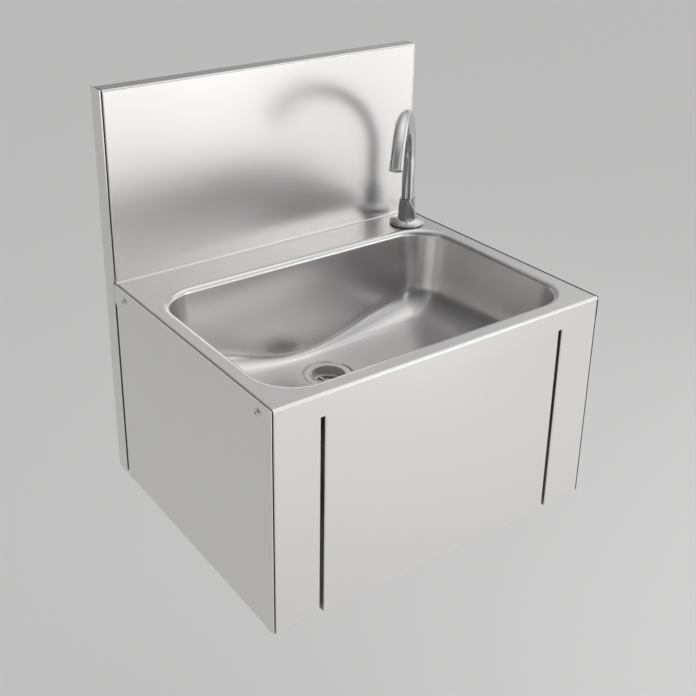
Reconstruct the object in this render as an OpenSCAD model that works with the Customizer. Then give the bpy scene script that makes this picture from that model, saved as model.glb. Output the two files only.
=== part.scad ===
// Wall-hung stainless steel hand wash sink, worked with the knee.
//
// Frame: X runs along the wall, +Y points into the wall, +Z is up. The origin is the centre of the
// wall fixing holes, on the wall, level with the top of the deck. All sizes are in millimetres.

/* [Casing] */
// Width over the side panels
sink_w = 500; // [492:1:600]
// Depth from the wall to the front face
sink_d = 413; // [403:1:443]
// Height of the casing, from its bottom edge to the deck
casing_h = 297.5; // [292.5:1:322.5]
// Height of the splashback above the deck
splash_h = 260; // [240:1:320]
// Depth of the hollow behind the splashback
return_d = 29; // [26:1:36]
// Thickness of the sheet that the casing is folded from
sheet_t = 1.2; // [1:0.1:1.5]
// Gap between the sink sheet and each side panel
panel_gap = 1.6; // [1.2:0.1:2]
// Depth of the skirt folded down from the deck behind each side panel
skirt_d = 28; // [26:1:32]

/* [Bowl] */
// Length of the bowl along the wall, over its rolled rim
bowl_w = 464; // [404:1:464]
// Depth of the bowl from front to back, over its rolled rim
bowl_d = 305; // [290:1:310]
// Width of the deck in front of the bowl
deck_front = 18; // [16:1:24]
// Corner radius of the rim's outline
bowl_corner_r = 60; // [50:1:70]
// Radius of the rolled rim
rim_r = 8; // [6:0.5:9]
// Depth of the bowl at the waste
bowl_depth = 150; // [140:1:152]
// Rise of the floor for each millimetre away from the waste
floor_slope = 0.2; // [0.15:0.01:0.3]
// Distance of the waste's centre from the front face
waste_from_front = 247; // [232:1:252]

/* [Knee panel] */
// Distance of each slot's centre from the middle of the front
slot_x = 183; // [170:0.1:186]
// Width of each slot
slot_w = 5.4; // [5:0.1:7]
// Height of the uncut band between the slots' tops and the deck
band_h = 29; // [28:1:34]
// Depth of the edges turned in along the knee panel
knee_edge_d = 12; // [8:1:14]
// Distance of the knee valve's axis below the bend line of the knee panel
valve_arm = 150; // [140:1:160]

/* [Tap] */
// Distance of the tap's axis from the middle of the sink
tap_x = 210; // [190:1:212]
// Distance of the tap's axis from the splashback
tap_from_splash = 42.5; // [38:0.5:44]
// Outer diameter of the spout tube
spout_od = 18.5; // [16:0.5:20]
// Height of the straight riser above the deck
riser_h = 103; // [90:1:130]
// Radius of the spout's arch, at the middle of the tube
arch_r = 84; // [60:1:90]
// Angle that the arch turns through
arch_angle = 146; // [130:1:170]
// Direction of the spout, in degrees from straight ahead towards the left
spout_turn = 46; // [0:1:60]

/* [Waste and trap] */
// Outer diameter of the waste flange
waste_flange_d = 68; // [62:1:70]
// Diameter of the opening in the waste flange
waste_bore_d = 46; // [42:1:47]
// Outer diameter of the outlet pipe
outlet_d = 32; // [30:1:36]
// Distance of the outlet pipe's axis below the deck
outlet_drop = 222; // [220:1:224]

/* [Wall frame] */
// Thickness of the wall frame
frame_t = 1.5; // [1.2:0.1:2]
// Distance between the wall fixing holes, left to right
fixing_dx = 456; // [440:1:458]
// Distance between the wall fixing holes, bottom to top
fixing_dz = 400; // [380:1:420]
// Diameter of the wall fixing holes
fixing_hole_d = 9; // [8:0.5:10]

/* [Hidden] */
$fn = 64;
eps = 0.01;

steel = [0.78, 0.78, 0.77];
dark_steel = [0.55, 0.55, 0.55];
chrome = [0.85, 0.86, 0.88];
brass = [0.78, 0.62, 0.32];
rubber = [0.12, 0.12, 0.12];
white_plastic = [0.9, 0.9, 0.88];

half_w = sink_w / 2;
front_y = -sink_d;
splash_y = -return_d;
half_t = sheet_t / 2;
sheet_half_w = half_w - sheet_t - panel_gap;
fold_r = 2.4;
side_fold_r = 1.2;
side_fold_reach = side_fold_r + half_t;
side_leg = 8;
corner_relief = 4;
side_edge_d = 12;

slot_in = slot_x - slot_w / 2;
slot_out = slot_x + slot_w / 2;
slot_edge_d = 24;
bottom_lip_d = 14;
bend_z = -band_h;
knee_clear = 0.1;

bowl_mid_y = front_y + deck_front + bowl_d / 2;
bowl_t = 1;
waste_y = front_y + waste_from_front;
floor_flat_r = 40;
recess_r = 36.5;
recess_d = 2.5;
drain_hole_r = 25;
wall_draft = 8;
foot_r_min = 13;
foot_r_max = 50;
foot_r_rise = 0.33;
foot_r_from = 66;
foot_r_corner = bowl_corner_r - rim_r - wall_draft - 2;
foot_r_corner_rise = 0.15;
arc_steps = 11;
fan_step = 9;
rim_steps = 5;
foot_steps = 8;
floor_steps = 5;

panel_set_back = 0.4;
panel_low_set_back = 0.9;
panel_rear_gap = 0.8;
panel_low_rear_gap = 4.2;
strip_y = splash_y + 2.5;
panel_flange_d = 15;
panel_top_drop = 0.2;
panel_corner_r = 1.5;
panel_lip_inset = 20;
screw_drop = 14.3;
screw_from_front = 27.3;
screw_from_splash = 28.5;
screw_ys = [front_y + screw_from_front, splash_y - screw_from_splash];
m4_r = 2;
m4_clear_r = 2.1;
m5_r = 2.5;
m5_clear_r = 2.75;
rivet_nut_r = 3.5;

valve_z = bend_z - valve_arm;
buffer_t = 6;
buffer_r = 15;
tip_gap = 0.3;
bar_t = 1.5;
bar_y = -361;
bar_h = 44;
bar_web_front = bar_y - bar_t / 2;
bar_web_back = bar_y + bar_t / 2;
bar_arm_x = slot_out + sheet_t + bar_t / 2;
stud_y = front_y + 14;
stud_dz = 24;
nose_r = 12;
nose_front = -381;
barrel_r = 15;
barrel_back = -312;
piston_r = 11;
piston_front = -356;
piston_t = 6;
spring_back = -320;
stem_r = 6;
run_clear = 0.05;
port_y = -332;
nipple_top = valve_z - 20;
g_half_r = 10.48;

tap_y = splash_y - tap_from_splash;
tap_hole_r = 10.75;
shank_r = 10;
shank_bore_r = 6;
shank_bottom = -62;
gasket_t = 1;
flange_r = 26;
flange_h = 9;
flange_top = gasket_t + flange_h;
hex_h = 30;
hex_top = flange_top + hex_h;
hex_r_bottom = 14.6;
hex_r_top = 12.9;
spout_r = spout_od / 2;
spout_wall = 1.2;
spout_foot = 14;
spout_straight = 5;
aerator_l = 12;
aerator_r = 9.7;
washer_r = 17;
washer_t = 2;
lock_nut_t = 7;

waste_r = waste_flange_d / 2;
waste_bore_r = waste_bore_d / 2;
recess_z = -bowl_depth - recess_d;
waste_plate_t = 1.8;
cup_bottom = -166.5;
seal_t = 3;
body_top = recess_z - bowl_t - seal_t;
waste_body_bottom = -178;
tail_r = 20.9;
tail_bottom = -197;
outlet_r = outlet_d / 2;
outlet_z = -outlet_drop;
trap_r = 31;
trap_top = -204;
trap_split = -244;
trap_bottom = -289;
trap_wall = 2.5;
pipe_wall = 1.5;
stub_r = 20;
stub_start = 27;
nut_start = trap_r + 3;
nut_l = 18;
bead_l = 2;

/* ---- folded sheet ---- */

// Direction of a leg of a path, as a unit vector.
function leg_dir(a, b) = (b - a) / norm(b - a);

// A strip of thickness t whose middle line follows a path with square corners, bent to radius r.
module bent_strip(path, r, t) {
    last = len(path) - 1;
    for (i = [0 : last - 1]) {
        along = leg_dir(path[i], path[i + 1]);
        side = [-along[1], along[0]] * t / 2;
        a = path[i] + (i > 0 ? along * r : [0, 0]);
        b = path[i + 1] - (i < last - 1 ? along * r : [0, 0]);
        polygon([a + side, a - side, b - side, b + side]);
    }
    for (i = [1 : last - 1]) {
        into = leg_dir(path[i - 1], path[i]);
        out = leg_dir(path[i], path[i + 1]);
        hub = path[i] - into * r + out * r;
        reach = 2 * r;
        intersection() {
            translate(hub) difference() {
                circle(r + t / 2);
                circle(r - t / 2);
            }
            polygon([hub, hub - out * reach, hub - out * reach + into * reach, hub + into * reach]);
        }
    }
}

// Extrudes a (Y, Z) outline along X, between x0 and x1.
module along_x(x0, x1) {
    translate([x0, 0, 0]) rotate([90, 0, 90]) linear_extrude(x1 - x0) children();
}

// Extrudes an (X, Z) outline along Y, between y0 and y1.
module along_y(y0, y1) {
    translate([0, y1, 0]) rotate([90, 0, 0]) linear_extrude(y1 - y0) children();
}

// A box between two corners.
module block(a, b) {
    translate(a) cube(b - a);
}

// The rounded outline of the bowl's rim, grown by d.
module rim_outline(d) {
    r = bowl_corner_r + d;
    dx = bowl_w / 2 - bowl_corner_r;
    dy = bowl_d / 2 - bowl_corner_r;
    square([2 * dx, 2 * (dy + r)], center = true);
    square([2 * (dx + r), 2 * dy], center = true);
    for (sx = [-1, 1], sy = [-1, 1]) translate([sx * dx, sy * dy]) circle(r);
}

// A hex prism along +Z, measured across its flats.
module hex(across, h) {
    cylinder(r = across / 2 / cos(30), h = h, $fn = 6);
}

// A tube along +Z.
module tube(r, bore, h) {
    difference() {
        cylinder(r = r, h = h);
        translate([0, 0, -1]) cylinder(r = bore, h = h + 2);
    }
}

// Keeps its children on the right for s = 1 and mirrors them to the left for s = -1.
module on_side(s) {
    mirror([s < 0 ? 1 : 0, 0, 0]) children();
}

// Puts its children on the tap's axis, turned so that -X is the spout's direction.
module at_tap() {
    translate([tap_x, tap_y, 0]) rotate([0, 0, 90 - spout_turn]) children();
}

// Puts its children on the knee valve's axis, with +Z along +Y.
module at_valve(y) {
    translate([0, y, valve_z]) rotate([-90, 0, 0]) children();
}

// Hangs a lip behind the wall frame's rail, then runs over the top, down the splashback,
// along the deck and down the band of the front above the knee panel.
sheet_path = [
    [splash_y + half_t, splash_h - half_t],
    [splash_y + half_t, -half_t],
    [front_y + half_t, -half_t],
    [front_y + half_t, -band_h]];
lip_y = -2.4;
lip_h = 18;
lip_half_w = 208;

// The sheet as it is folded front to back, before its side edges are turned down.
module folded_sheet() {
    along_x(-sheet_half_w, sheet_half_w)
        bent_strip(concat([[lip_y - fold_r, splash_h - half_t]], sheet_path), fold_r, sheet_t);
    along_x(-lip_half_w, lip_half_w)
        bent_strip([[lip_y, splash_h - lip_h], [lip_y, splash_h - half_t],
            [lip_y - fold_r - 4, splash_h - half_t]], fold_r, sheet_t);
}

module sink_sheet() {
    color(steel) difference() {
        union() {
            difference() {
                folded_sheet();
                for (s = [-1, 1]) on_side(s) side_edges();
            }
            for (s = [-1, 1]) on_side(s) {
                skirt();
                splash_edge();
                front_strip();
            }
        }
        translate([0, bowl_mid_y, -sheet_t - 1]) linear_extrude(sheet_t + 2) rim_outline(0.05);
        translate([tap_x, tap_y, -sheet_t - 1]) cylinder(r = tap_hole_r, h = sheet_t + 2);
        for (s = [-1, 1], y = screw_ys) translate([s * half_w, y, -screw_drop])
            rotate([0, -90 * s, 0]) cylinder(r = rivet_nut_r + run_clear, h = 20);
    }
}

// What is cut from the flat side edges to make room for their folds, short of the corners.
module side_edges() {
    x0 = sheet_half_w - side_fold_reach;
    block([x0, front_y + corner_relief, -sheet_t - 1], [half_w, splash_y - corner_relief, 1]);
    block([x0, front_y - 1, -band_h - 1], [half_w, front_y + sheet_t + 1, -corner_relief]);
    block([x0, splash_y - 1, corner_relief], [half_w, splash_y + sheet_t + 1, splash_h - corner_relief]);
}

// The flange folded down from the deck, hidden behind a side panel.
module skirt() {
    along_y(front_y + corner_relief, splash_y - corner_relief)
        bent_strip([[sheet_half_w - side_leg, -half_t], [sheet_half_w - half_t, -half_t],
            [sheet_half_w - half_t, -skirt_d]], side_fold_r, sheet_t);
}

// The edge turned back along the side of the splashback.
module splash_edge() {
    translate([0, 0, corner_relief]) linear_extrude(splash_h - 2 * corner_relief)
        bent_strip([[sheet_half_w - side_leg, splash_y + half_t], [sheet_half_w - half_t, splash_y + half_t],
            [sheet_half_w - half_t, splash_y + side_edge_d]], side_fold_r, sheet_t);
}

// The edge turned in along the bottom of the front, as a (Y, Z) outline.
lip_bend = 8;
strip_lip_x = sheet_half_w - side_leg - 4;
module bottom_lip() {
    bent_strip([[front_y + half_t, -casing_h + lip_bend], [front_y + half_t, -casing_h + half_t],
        [front_y + bottom_lip_d, -casing_h + half_t]], 1.2, sheet_t);
}

// The front outside one slot, with its edges turned in along the slot, the side and the bottom.
module front_strip() {
    flat_end = sheet_half_w - side_leg + 1;
    block([slot_out + sheet_t, front_y, -casing_h + lip_bend], [flat_end, front_y + sheet_t, -band_h + eps]);
    block([strip_lip_x, front_y, -casing_h], [flat_end, front_y + sheet_t, -casing_h + lip_bend]);
    translate([0, 0, -casing_h]) linear_extrude(casing_h - band_h)
        bent_strip([[slot_out + half_t, front_y + slot_edge_d], [slot_out + half_t, front_y + half_t],
            [slot_out + 6, front_y + half_t]], 1.2, sheet_t);
    translate([0, 0, -casing_h]) linear_extrude(casing_h - corner_relief)
        bent_strip([[sheet_half_w - side_leg, front_y + half_t], [sheet_half_w - half_t, front_y + half_t],
            [sheet_half_w - half_t, front_y + side_edge_d]], side_fold_r, sheet_t);
    along_x(slot_out + sheet_t + 2, strip_lip_x) bottom_lip();
    block([slot_out + sheet_t - eps, front_y, -casing_h + sheet_t],
        [slot_out + sheet_t + 2 + eps, front_y + sheet_t, -casing_h + lip_bend]);
}

/* ---- bowl ---- */

// A station is the centre that its piece of the rim is struck from, and the rim's outward angle there.
// The corners are cut into equal arcs, and the sides where rays fan out evenly from the waste.
function corner_hub(c) = [
    (c == 0 || c == 3 ? 1 : -1) * (bowl_w / 2 - bowl_corner_r),
    (c < 2 ? 1 : -1) * (bowl_d / 2 - bowl_corner_r)];
function corner_end(c, a) = corner_hub(c) + bowl_corner_r * [cos(a), sin(a)] + [0, bowl_mid_y - waste_y];
function bearing(p) = atan2(p[1], p[0]);
function turn(a, b) = b > a ? b - a : b - a + 360;
function across(a, b) = a[0] * b[1] - a[1] * b[0];
function side_stations(c) =
    let (
        a = 90 * (c + 1),
        p = corner_end(c, a),
        q = corner_end((c + 1) % 4, a),
        swing = turn(bearing(p), bearing(q)),
        n = ceil(swing / fan_step))
    [for (i = [1 : n - 1])
        let (
            b = bearing(p) + swing * i / n,
            ray = [cos(b), sin(b)],
            share = across(p, ray) / across(p - q, ray))
        [corner_hub(c) + (corner_hub((c + 1) % 4) - corner_hub(c)) * share, a]];
function stations() = [for (c = [0 : 3]) each concat(
    [for (i = [0 : arc_steps]) [corner_hub(c), 90 * c + 90 * i / arc_steps]],
    side_stations(c))];
function from_corner(st) = min([for (c = [0 : 3]) norm(st[0] - corner_hub(c))]);

// A point of a station in plan, at a distance inwards from the rim's outline.
function in_plan(st, inset) =
    st[0] + (bowl_corner_r - inset) * [cos(st[1]), sin(st[1])] + [0, bowl_mid_y];
function from_waste(p) = norm(p - [0, waste_y]);
function floor_z(p) = -bowl_depth + floor_slope * max(0, from_waste(p) - floor_flat_r);
function foot_r(st, p) = min(foot_r_max, foot_r_corner + foot_r_corner_rise * from_corner(st),
    foot_r_min + foot_r_rise * max(0, from_waste(p) - foot_r_from));
function toward_waste(p, r) = [0, waste_y] + (p - [0, waste_y]) * r / from_waste(p);

// The wall foot's inset and its fillet radius at a station.
wall_inset = rim_r + wall_draft;

// Rim, wall and foot of one station, on the inside (t = 0) or the underside (t = bowl_t).
function side_profile(st, t) =
    let (foot = in_plan(st, wall_inset), f = foot_r(st, foot))
    concat(
        [for (i = [0 : rim_steps]) let (a = 90 * i / rim_steps, p = in_plan(st, (rim_r - t) * sin(a)))
            [p[0], p[1], -rim_r + (rim_r - t) * cos(a)]],
        [for (i = [0 : foot_steps])
            let (
                a = 90 * i / foot_steps,
                seen = in_plan(st, wall_inset + f * (1 - cos(a))),
                p = in_plan(st, wall_inset + f - (f + t) * cos(a)))
            [p[0], p[1], floor_z(seen) + f - (f + t) * sin(a)]]);

// Floor of one station, from the foot of the wall to the hole for the waste.
function floor_profile(st, t) =
    let (
        foot = in_plan(st, wall_inset),
        start = in_plan(st, wall_inset + foot_r(st, foot)),
        end = toward_waste(start, floor_flat_r))
    concat(
        [for (i = [1 : floor_steps]) let (p = start + (end - start) * i / floor_steps)
            [p[0], p[1], floor_z(p) - t]],
        [for (q = [[recess_r + t, -bowl_depth], [recess_r - 1 + t, recess_z], [drain_hole_r, recess_z]])
            let (p = toward_waste(start, q[0])) [p[0], p[1], q[1] - t]]);

function back_to_front(list) = [for (i = [len(list) - 1 : -1 : 0]) list[i]];
function bowl_profile(st) = concat(
    side_profile(st, 0), floor_profile(st, 0),
    back_to_front(floor_profile(st, bowl_t)), back_to_front(side_profile(st, bowl_t)));

// A closed skin over rings of equal length; the rings run round in a loop.
module looped_skin(rings) {
    n = len(rings);
    m = len(rings[0]);
    polyhedron(
        points = [for (ring = rings) each ring],
        faces = [for (i = [0 : n - 1], j = [0 : m - 1])
            let (a = i * m, b = ((i + 1) % n) * m, k = (j + 1) % m)
            each [[a + j, a + k, b + k], [a + j, b + k, b + j]]]);
}

module bowl() {
    color(steel) looped_skin([for (st = stations()) bowl_profile(st)]);
}

/* ---- side panels, frame and their fasteners ---- */

// A (Y, Z) outline with rounded upper corners.
module rounded_top(y0, y1, z0, z1, r) {
    translate([y0, z0]) square([y1 - y0, z1 - z0 - r]);
    translate([y0 + r, z0]) square([y1 - y0 - 2 * r, z1 - z0]);
    for (y = [y0 + r, y1 - r]) translate([y, z1 - r]) circle(r);
}

// A plain front edge, a flange towards the frame at the rear and one turned in along the bottom.
module side_panel(s) {
    rear = strip_y - panel_low_rear_gap - half_t;
    lip_y0 = front_y + panel_lip_inset;
    lip_y1 = strip_y - panel_lip_inset;
    on_side(s) color(steel) difference() {
        union() {
            difference() {
                translate([0, 0, -casing_h]) linear_extrude(casing_h - skirt_d)
                    bent_strip([[half_w - half_t, front_y + panel_low_set_back], [half_w - half_t, rear],
                        [half_w - panel_flange_d, rear]], side_fold_r, sheet_t);
                block([half_w - sheet_t - 1, lip_y0, -casing_h - 1],
                    [half_w + 1, lip_y1, -casing_h + side_fold_reach]);
            }
            along_x(half_w - sheet_t, half_w)
                rounded_top(front_y + panel_set_back, strip_y - panel_rear_gap, -skirt_d - eps,
                    -panel_top_drop, panel_corner_r);
            along_y(lip_y0, lip_y1) bent_strip([[half_w - panel_flange_d, -casing_h + half_t],
                [half_w - half_t, -casing_h + half_t], [half_w - half_t, -casing_h + side_leg]],
                side_fold_r, sheet_t);
        }
        for (y = screw_ys) translate([half_w - sheet_t - 1, y, -screw_drop]) rotate([0, 90, 0])
            cylinder(r = m5_clear_r, h = 4);
        for (z = frame_screw_zs) translate([frame_screw_x, strip_y - 8, z]) rotate([-90, 0, 0])
            cylinder(r = m4_clear_r, h = 8);
    }
}
module left_side_panel() { side_panel(-1); }
module right_side_panel() { side_panel(1); }

frame_screw_x = half_w - 10;
frame_screw_zs = [-70, -250];
frame_flange_w = 36.5;
frame_pad_r = 4.5;
strip_notch_r = 2.2;
strip_notch_z = -1.5;
rail_y = -5.35;
rail_bottom = 200;
low_rail_z = [-286, -246];
frame_corner_r = 10;

module wall_frame() {
    color(steel) difference() {
        union() {
            for (s = [-1, 1]) on_side(s) {
                frame_side();
                rail_end();
            }
            block([-half_w + frame_flange_w, rail_y - frame_t / 2, rail_bottom],
                [half_w - frame_flange_w, rail_y + frame_t / 2, splash_h - sheet_t - 0.1]);
            block([-half_w + frame_flange_w - 1, -frame_t, low_rail_z[0]],
                [half_w - frame_flange_w + 1, 0, low_rail_z[1]]);
        }
        for (sx = [-1, 1], sz = [-1, 1])
            translate([sx * fixing_dx / 2, 1, sz * fixing_dz / 2]) rotate([90, 0, 0])
                cylinder(d = fixing_hole_d, h = frame_t + 2);
        for (s = [-1, 1], z = frame_screw_zs)
            translate([s * frame_screw_x, strip_y - 5, z]) rotate([-90, 0, 0])
                cylinder(r = m4_clear_r, h = 8);
    }
}

// One upright of the frame: the strip seen beside the splashback, the flange on the wall, and a
// narrow front flange below the deck with raised pads for the side panel's screws.
module frame_side() {
    x0 = half_w - frame_t;
    difference() {
        block([x0, strip_y, -casing_h], [half_w, 0, splash_h]);
        translate([x0 - 1, -frame_corner_r, -casing_h + frame_corner_r]) rotate([0, 90, 0])
            difference() {
                cube([frame_corner_r + 1, frame_corner_r + 1, frame_t + 2]);
                translate([0, 0, -1]) cylinder(r = frame_corner_r, h = frame_t + 4);
            }
        translate([x0 - 1, strip_y, strip_notch_z]) rotate([0, 90, 0])
            cylinder(r = strip_notch_r, h = frame_t + 2);
    }
    block([half_w - frame_flange_w, -frame_t, -casing_h + frame_corner_r], [x0 + eps, 0, splash_h - 2]);
    block([half_w - 18, strip_y, -casing_h + 4], [x0 + eps, strip_y + frame_t, -skirt_d - 6]);
    for (z = frame_screw_zs) translate([frame_screw_x, strip_y - panel_low_rear_gap, z])
        rotate([-90, 0, 0]) cylinder(r = frame_pad_r, h = panel_low_rear_gap + eps);
}

// The step that carries the hanging rail forward of the wall.
module rail_end() {
    block([half_w - frame_flange_w, rail_y - frame_t / 2, rail_bottom],
        [half_w - frame_flange_w + frame_t, 0, splash_h - sheet_t - 0.1]);
}

// Button-head screws with a hex socket.
module panel_screws() {
    head_r = 4.75;
    head_h = 2.75;
    dome_r = 5.6;
    dome_top = 3.3;
    color(chrome) for (s = [-1, 1], y = screw_ys)
        translate([s * half_w, y, -screw_drop]) rotate([0, 90 * s, 0]) {
            difference() {
                intersection() {
                    cylinder(r = head_r, h = head_h);
                    translate([0, 0, dome_top - dome_r]) sphere(r = dome_r);
                }
                translate([0, 0, head_h - 1.5]) hex(3, 2);
            }
            translate([0, 0, -14]) cylinder(r = m5_r, h = 14);
        }
}

module panel_rivet_nuts() {
    color(dark_steel) for (s = [-1, 1], y = screw_ys)
        translate([s * (half_w - sheet_t), y, -screw_drop]) rotate([0, -90 * s, 0]) difference() {
            union() {
                cylinder(r = 5.2, h = panel_gap);
                cylinder(r = rivet_nut_r, h = 12);
            }
            translate([0, 0, -1]) cylinder(r = m5_r + run_clear, h = 14);
        }
}

module frame_screws() {
    color(dark_steel) for (s = [-1, 1], z = frame_screw_zs)
        translate([s * frame_screw_x, 0, z]) {
            translate([0, strip_y - panel_low_rear_gap - sheet_t, 0]) rotate([90, 0, 0]) hex(7, 2.8);
            translate([0, strip_y - panel_low_rear_gap - sheet_t, 0]) rotate([-90, 0, 0])
                cylinder(r = m4_r, h = 12);
            translate([0, strip_y + frame_t, 0]) rotate([-90, 0, 0]) difference() {
                hex(7, 3.2);
                translate([0, 0, -1]) cylinder(r = m4_r + run_clear, h = 6);
            }
        }
}

/* ---- knee panel and valve ---- */

module knee_panel() {
    top = bend_z - knee_clear;
    color(steel) {
        translate([0, 0, -casing_h]) linear_extrude(casing_h + top)
            bent_strip([[-slot_in + half_t, front_y + knee_edge_d], [-slot_in + half_t, front_y + half_t],
                [slot_in - half_t, front_y + half_t], [slot_in - half_t, front_y + knee_edge_d]],
                1.2, sheet_t);
        along_x(-slot_in + 4, slot_in - 4) bottom_lip();
    }
}

module knee_buffer() {
    color(rubber) at_valve(front_y + sheet_t) {
        cylinder(r = buffer_r, h = 2);
        cylinder(r = buffer_r - 4, h = buffer_t);
    }
}

module valve_bar() {
    lip_x = bar_arm_x - 12;
    color(steel) difference() {
        union() {
            translate([0, 0, valve_z - bar_h / 2]) linear_extrude(bar_h)
                bent_strip([[bar_arm_x, front_y + 6], [bar_arm_x, bar_y],
                    [-bar_arm_x, bar_y], [-bar_arm_x, front_y + 6]], 3, bar_t);
            for (s = [-1, 1]) translate([0, 0, valve_z + s * (bar_h - bar_t) / 2])
                block([-lip_x, bar_web_back - eps, -bar_t / 2], [lip_x, bar_web_back + 9, bar_t / 2]);
        }
        at_valve(bar_y - 4) cylinder(r = nose_r + 0.2, h = 8);
        for (s = [-1, 1], dz = [-1, 1]) translate([s * slot_out, stud_y, valve_z + dz * stud_dz / 2])
            rotate([0, 90 * s, 0]) cylinder(r = 2.7, h = 8);
    }
}

module bar_studs() {
    color(dark_steel) for (s = [-1, 1], dz = [-1, 1])
        translate([s * (slot_out + sheet_t), stud_y, valve_z + dz * stud_dz / 2])
            rotate([0, 90 * s, 0]) cylinder(r = 2.5, h = 11);
}

module bar_nuts() {
    color(dark_steel) for (s = [-1, 1], dz = [-1, 1])
        translate([s * (slot_out + sheet_t + bar_t), stud_y, valve_z + dz * stud_dz / 2])
            rotate([0, 90 * s, 0]) difference() {
                hex(8, 4);
                translate([0, 0, -1]) cylinder(r = 2.5 + run_clear, h = 8);
            }
}

module valve_body() {
    color(brass) difference() {
        union() {
            at_valve(nose_front) cylinder(r = nose_r, h = bar_web_back - nose_front + 1);
            at_valve(bar_web_back) cylinder(r = barrel_r, h = barrel_back - bar_web_back);
            translate([0, port_y, nipple_top - 4]) cylinder(r = 12, h = valve_z - nipple_top + 4);
            translate([0, port_y, valve_z]) rotate([0, 90, 0]) cylinder(r = 10, h = 26);
        }
        at_valve(nose_front - 1) cylinder(r = stem_r + run_clear, h = 40);
        at_valve(piston_front) cylinder(r = piston_r + run_clear, h = barrel_back - piston_front + 1);
        translate([0, port_y, nipple_top - 5]) cylinder(r = 9.05, h = 13);
        translate([0, port_y, nipple_top]) cylinder(r = 5, h = valve_z - nipple_top);
        translate([6, port_y, valve_z]) rotate([0, 90, 0]) cylinder(r = 5, h = 22);
    }
}

// Closes the back of the valve and seats the spring.
module valve_end_cap() {
    color(brass) at_valve(spring_back) {
        cylinder(r = piston_r, h = barrel_back - spring_back);
        translate([0, 0, barrel_back - spring_back]) hex(26, 5);
    }
}

module valve_plunger() {
    tip_y = front_y + sheet_t + buffer_t + tip_gap;
    button_l = 8;
    color(white_plastic) {
        at_valve(tip_y) intersection() {
            cylinder(r = 8, h = button_l);
            translate([0, 0, 24]) sphere(r = 24);
        }
        at_valve(tip_y + button_l - 1) cylinder(r = stem_r, h = piston_front - tip_y - button_l + 2);
        at_valve(piston_front) cylinder(r = piston_r, h = piston_t);
    }
}

// A round wire wound into a helix: rings of the wire's section, joined end to end.
module coil(mean_r, wire_r, length, turns) {
    sides = 8;
    per_turn = 12;
    n = turns * per_turn;
    rise = length - 2 * wire_r;
    open_skin([for (i = [0 : n]) let (a = 360 * i / per_turn, z = wire_r + rise * i / n)
        [for (k = [0 : sides - 1]) let (b = 360 * k / sides, r = mean_r + wire_r * cos(b))
            [r * cos(a), r * sin(a), z + wire_r * sin(b)]]]);
}

// A skin over rings of equal length, closed at both ends.
module open_skin(rings) {
    n = len(rings);
    m = len(rings[0]);
    polyhedron(
        points = [for (ring = rings) each ring],
        faces = concat(
            [for (i = [0 : n - 2], j = [0 : m - 1]) let (a = i * m, b = (i + 1) * m, k = (j + 1) % m)
                each [[a + j, b + k, a + k], [a + j, b + j, b + k]]],
            [[for (j = [0 : m - 1]) j]],
            [[for (j = [m - 1 : -1 : 0]) (n - 1) * m + j]]));
}

module valve_spring() {
    start = piston_front + piston_t;
    color(dark_steel) at_valve(start) coil(8, 0.8, spring_back - start, 6);
}

module valve_lock_nut() {
    color(brass) at_valve(bar_web_front - 6) difference() {
        hex(32, 6);
        translate([0, 0, -1]) cylinder(r = nose_r + run_clear, h = 8);
    }
}

module supply_nipple() {
    color(brass) translate([0, port_y, 0]) difference() {
        union() {
            translate([0, 0, nipple_top - 4]) cylinder(r = 9, h = 10);
            translate([0, 0, nipple_top - 10]) hex(24, 6);
            translate([0, 0, nipple_top - 32]) cylinder(r = g_half_r, h = 22);
        }
        translate([0, 0, nipple_top - 33]) cylinder(r = 6.5, h = 40);
    }
}

/* ---- hose from the valve to the tap ---- */

hose_r = 5.5;
hose_start_x = 36;
hose_top = -84;
hose_route = [
    [hose_start_x, port_y, valve_z], [hose_start_x + 10, port_y, valve_z],
    [hose_start_x + 20, port_y, valve_z],
    [80, -329, -181], [106, -314, -188], [132, -285, -201], [155, -245, -214], [173, -203, -222],
    [189, -160, -222], [202, -120, -207], [tap_x - 2, -89, -180], [tap_x, tap_y - 3, -150],
    [tap_x, tap_y, -122], [tap_x, tap_y, -104], [tap_x, tap_y, hose_top]];
hose_steps = 4;

// A point on the smooth curve through four neighbouring points of a route.
function on_curve(p0, p1, p2, p3, t) = 0.5 * (2 * p1 + (p2 - p0) * t
    + (2 * p0 - 5 * p1 + 4 * p2 - p3) * t * t + (3 * p1 - p0 - 3 * p2 + p3) * t * t * t);
function at(list, i) = list[max(0, min(len(list) - 1, i))];
function smooth_route(r) = concat(
    [for (i = [0 : len(r) - 2], k = [0 : hose_steps - 1])
        on_curve(at(r, i - 1), r[i], r[i + 1], at(r, i + 2), k / hose_steps)],
    [r[len(r) - 1]]);
function unit(v) = v / norm(v);
function along(list, i) = unit(at(list, i + 1) - at(list, i - 1));

module tap_hose() {
    sides = 10;
    line = smooth_route(hose_route);
    lay = [0.3, -0.8, 0.52];
    color(dark_steel) open_skin([for (i = [0 : len(line) - 1])
        let (t = along(line, i), u = unit(cross(t, lay)), v = cross(t, u))
        [for (k = [0 : sides - 1]) let (b = 360 * k / sides) line[i] + hose_r * (cos(b) * u + sin(b) * v)]]);
}

module hose_union_nuts() {
    color(brass) {
        translate([hose_start_x - 10, port_y, valve_z]) rotate([0, 90, 0]) hex(22, 10);
        translate([tap_x, tap_y, hose_top]) difference() {
            hex(24, shank_bottom - hose_top + 10);
            translate([0, 0, shank_bottom - hose_top]) cylinder(r = shank_r + run_clear, h = 30);
        }
    }
}

/* ---- tap ---- */

module tap_gasket() {
    color(rubber) translate([tap_x, tap_y, 0]) tube(flange_r - 1.5, tap_hole_r, gasket_t);
}

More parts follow.
